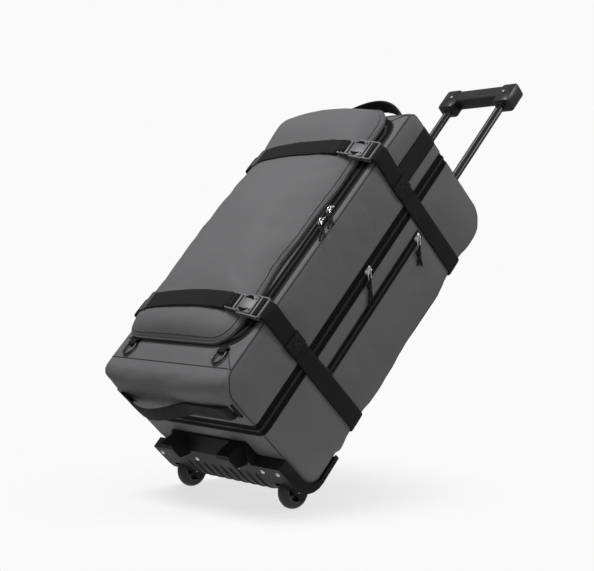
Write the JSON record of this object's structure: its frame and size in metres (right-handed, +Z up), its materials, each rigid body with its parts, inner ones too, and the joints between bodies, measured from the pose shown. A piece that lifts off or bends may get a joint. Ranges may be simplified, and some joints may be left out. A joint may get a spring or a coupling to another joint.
{
  "type": "rolling duffel bag",
  "caption": "Large soft-sided rolling duffel bag with zipped front lid, buckled straps, moulded wheel base and telescopic pull handle",
  "frame": {"origin": "Middle of the bounding box in plan, on the ground under the wheels and feet of the upright bag.", "axes": "+Z runs up the bag's length, from the wheel base to the pull handle. -Y is the front, with the zipped lid; +Y is the back, with the pull handle and the wheels. +X is the side with the buckles and the side pocket."},
  "size_m": [0.3696, 0.3546, 1.096],
  "materials": {
    "shell_fabric": "smooth coated nylon, mid-dark grey, low sheen",
    "lining_fabric": "plain woven lining, dark grey",
    "zip_tape": "black woven zip tape with nylon coil teeth",
    "strap_webbing": "black nylon webbing, ribbed weave",
    "pull_cord": "black braided cord",
    "zip_metal": "polished nickel-plated zip metal",
    "steel_pins": "bright steel",
    "base_plastic": "fine-grained moulded black-grey plastic",
    "buckle_plastic": "semi-gloss moulded acetal, dark grey",
    "tube_metal": "black anodised aluminium tube",
    "grip_plastic": "satin black moulded grip",
    "tyre_rubber": "black polyurethane tyre",
    "hub_plastic": "black moulded hub"
  },
  "bodies": {
    "bag": {"front_left_side_panel": "shell_fabric", "front_right_side_panel": "shell_fabric", "rear_left_side_panel": "shell_fabric", "rear_right_side_panel": "shell_fabric", "front_panel_frame": "shell_fabric", "front_bottom_panel": "shell_fabric", "front_top_panel": "shell_fabric", "rear_bottom_panel": "shell_fabric", "rear_top_panel": "shell_fabric", "back_panel": "shell_fabric", "divider_panel": "lining_fabric", "main_zipper_tape": "zip_tape", "lid_zipper_tape": "zip_tape", "pocket_zipper_tape": "zip_tape", "upper_side_strap": "strap_webbing", "lower_side_strap": "strap_webbing", "d_ring_tab_left": "strap_webbing", "d_ring_tab_right": "strap_webbing", "axle_left": "steel_pins", "axle_right": "steel_pins", "base_shell": "base_plastic", "upper_buckle_socket": "buckle_plastic", "lower_buckle_socket": "buckle_plastic", "outer_tube_left": "tube_metal", "outer_tube_right": "tube_metal"},
    "lid": {"lid_panel": "shell_fabric", "upper_lid_strap": "strap_webbing", "lower_lid_strap": "strap_webbing", "upper_buckle_tongue": "buckle_plastic", "lower_buckle_tongue": "buckle_plastic", "upper_strap_adjuster": "buckle_plastic", "lower_strap_adjuster": "buckle_plastic"},
    "pull_handle": {"inner_tube_left": "tube_metal", "inner_tube_right": "tube_metal", "pull_grip": "grip_plastic", "grip_screw_left": "steel_pins", "grip_screw_right": "steel_pins"},
    "release_button": {"release_button": "grip_plastic"},
    "wheel_left": {"wheel_tyre_left": "tyre_rubber", "wheel_hub_left": "hub_plastic"},
    "wheel_right": {"wheel_tyre_right": "tyre_rubber", "wheel_hub_right": "hub_plastic"},
    "d_ring_left": {"d_ring_left": "buckle_plastic"},
    "d_ring_right": {"d_ring_right": "buckle_plastic"},
    "top_haul_handle": {"top_haul_handle": "strap_webbing"},
    "bottom_haul_handle": {"bottom_haul_handle": "strap_webbing"},
    "main_slider": {"main_slider": "zip_metal"},
    "main_pull": {"main_pull": "zip_metal", "main_pull_cord": "pull_cord"},
    "pocket_slider": {"pocket_slider": "zip_metal"},
    "pocket_pull": {"pocket_pull": "zip_metal", "pocket_pull_cord": "pull_cord"},
    "lid_upper_slider": {"lid_upper_slider": "zip_metal"},
    "lid_upper_pull": {"lid_upper_pull": "zip_metal", "lid_upper_pull_cord": "pull_cord"},
    "lid_lower_slider": {"lid_lower_slider": "zip_metal"},
    "lid_lower_pull": {"lid_lower_pull": "zip_metal", "lid_lower_pull_cord": "pull_cord"}
  },
  "joints": [
    {"name": "lid_hinge", "type": "hinge", "parent": "bag", "child": "lid", "pos_m": [-0.17, -0.1365, 0.42], "axis": [0, 0, -1], "range_deg": [0, 135]},
    {"name": "handle_slide", "type": "slide", "parent": "bag", "child": "pull_handle", "axis": [0, 0, 1], "range_m": [-0.3, 0]},
    {"name": "release_button_press", "type": "slide", "parent": "pull_handle", "child": "release_button", "axis": [0, 0, -1], "range_m": [0, 0.003], "stiffness_N_per_m": 400},
    {"name": "wheel_left_axle", "type": "hinge", "parent": "bag", "child": "wheel_left", "pos_m": [-0.147, 0.146, 0.0322], "axis": [1, 0, 0], "continuous": true},
    {"name": "wheel_right_axle", "type": "hinge", "parent": "bag", "child": "wheel_right", "pos_m": [0.147, 0.146, 0.0322], "axis": [1, 0, 0], "continuous": true},
    {"name": "d_ring_left_hinge", "type": "hinge", "parent": "bag", "child": "d_ring_left", "pos_m": [-0.132, -0.1392, 0.1135], "axis": [-1, 0, 0], "range_deg": [0, 100]},
    {"name": "d_ring_right_hinge", "type": "hinge", "parent": "bag", "child": "d_ring_right", "pos_m": [0.132, -0.1392, 0.1135], "axis": [-1, 0, 0], "range_deg": [0, 100]},
    {"name": "top_haul_handle_lean", "type": "hinge", "parent": "bag", "child": "top_haul_handle", "pos_m": [0, -0.088, 0.739], "axis": [1, 0, 0], "range_deg": [-24, 24]},
    {"name": "bottom_haul_handle_lean", "type": "hinge", "parent": "bag", "child": "bottom_haul_handle", "pos_m": [0, -0.069, 0.0385], "axis": [1, 0, 0], "range_deg": [-24, 24]},
    {"name": "lid_upper_slide", "type": "slide", "parent": "bag", "child": "lid_upper_slider", "axis": [0, 0, 1], "range_m": [0, 0.1]},
    {"name": "lid_lower_slide", "type": "slide", "parent": "bag", "child": "lid_lower_slider", "axis": [0, 0, -1], "range_m": [0, 0.13]},
    {"name": "main_slide", "type": "slide", "parent": "bag", "child": "main_slider", "axis": [0, 0, 1], "range_m": [-0.12, 0.13]},
    {"name": "pocket_slide", "type": "slide", "parent": "bag", "child": "pocket_slider", "axis": [0, 0, -1], "range_m": [0, 0.32]},
    {"name": "lid_upper_pull_hinge", "type": "hinge", "parent": "lid_upper_slider", "child": "lid_upper_pull", "pos_m": [0.147, -0.141, 0.458], "axis": [-0.8131, 0, -0.5822], "range_deg": [0, 60]},
    {"name": "lid_lower_pull_hinge", "type": "hinge", "parent": "lid_lower_slider", "child": "lid_lower_pull", "pos_m": [0.147, -0.141, 0.428], "axis": [-0.8131, 0, -0.5822], "range_deg": [0, 60]},
    {"name": "main_pull_hinge", "type": "hinge", "parent": "main_slider", "child": "main_pull", "pos_m": [0.1839, -0.012, 0.423], "axis": [0, -0.721, -0.693], "range_deg": [0, 60]},
    {"name": "pocket_pull_hinge", "type": "hinge", "parent": "pocket_slider", "child": "pocket_pull", "pos_m": [0.1849, 0.0415, 0.56], "axis": [0, -0.721, -0.693], "range_deg": [0, 60]}
  ]
}
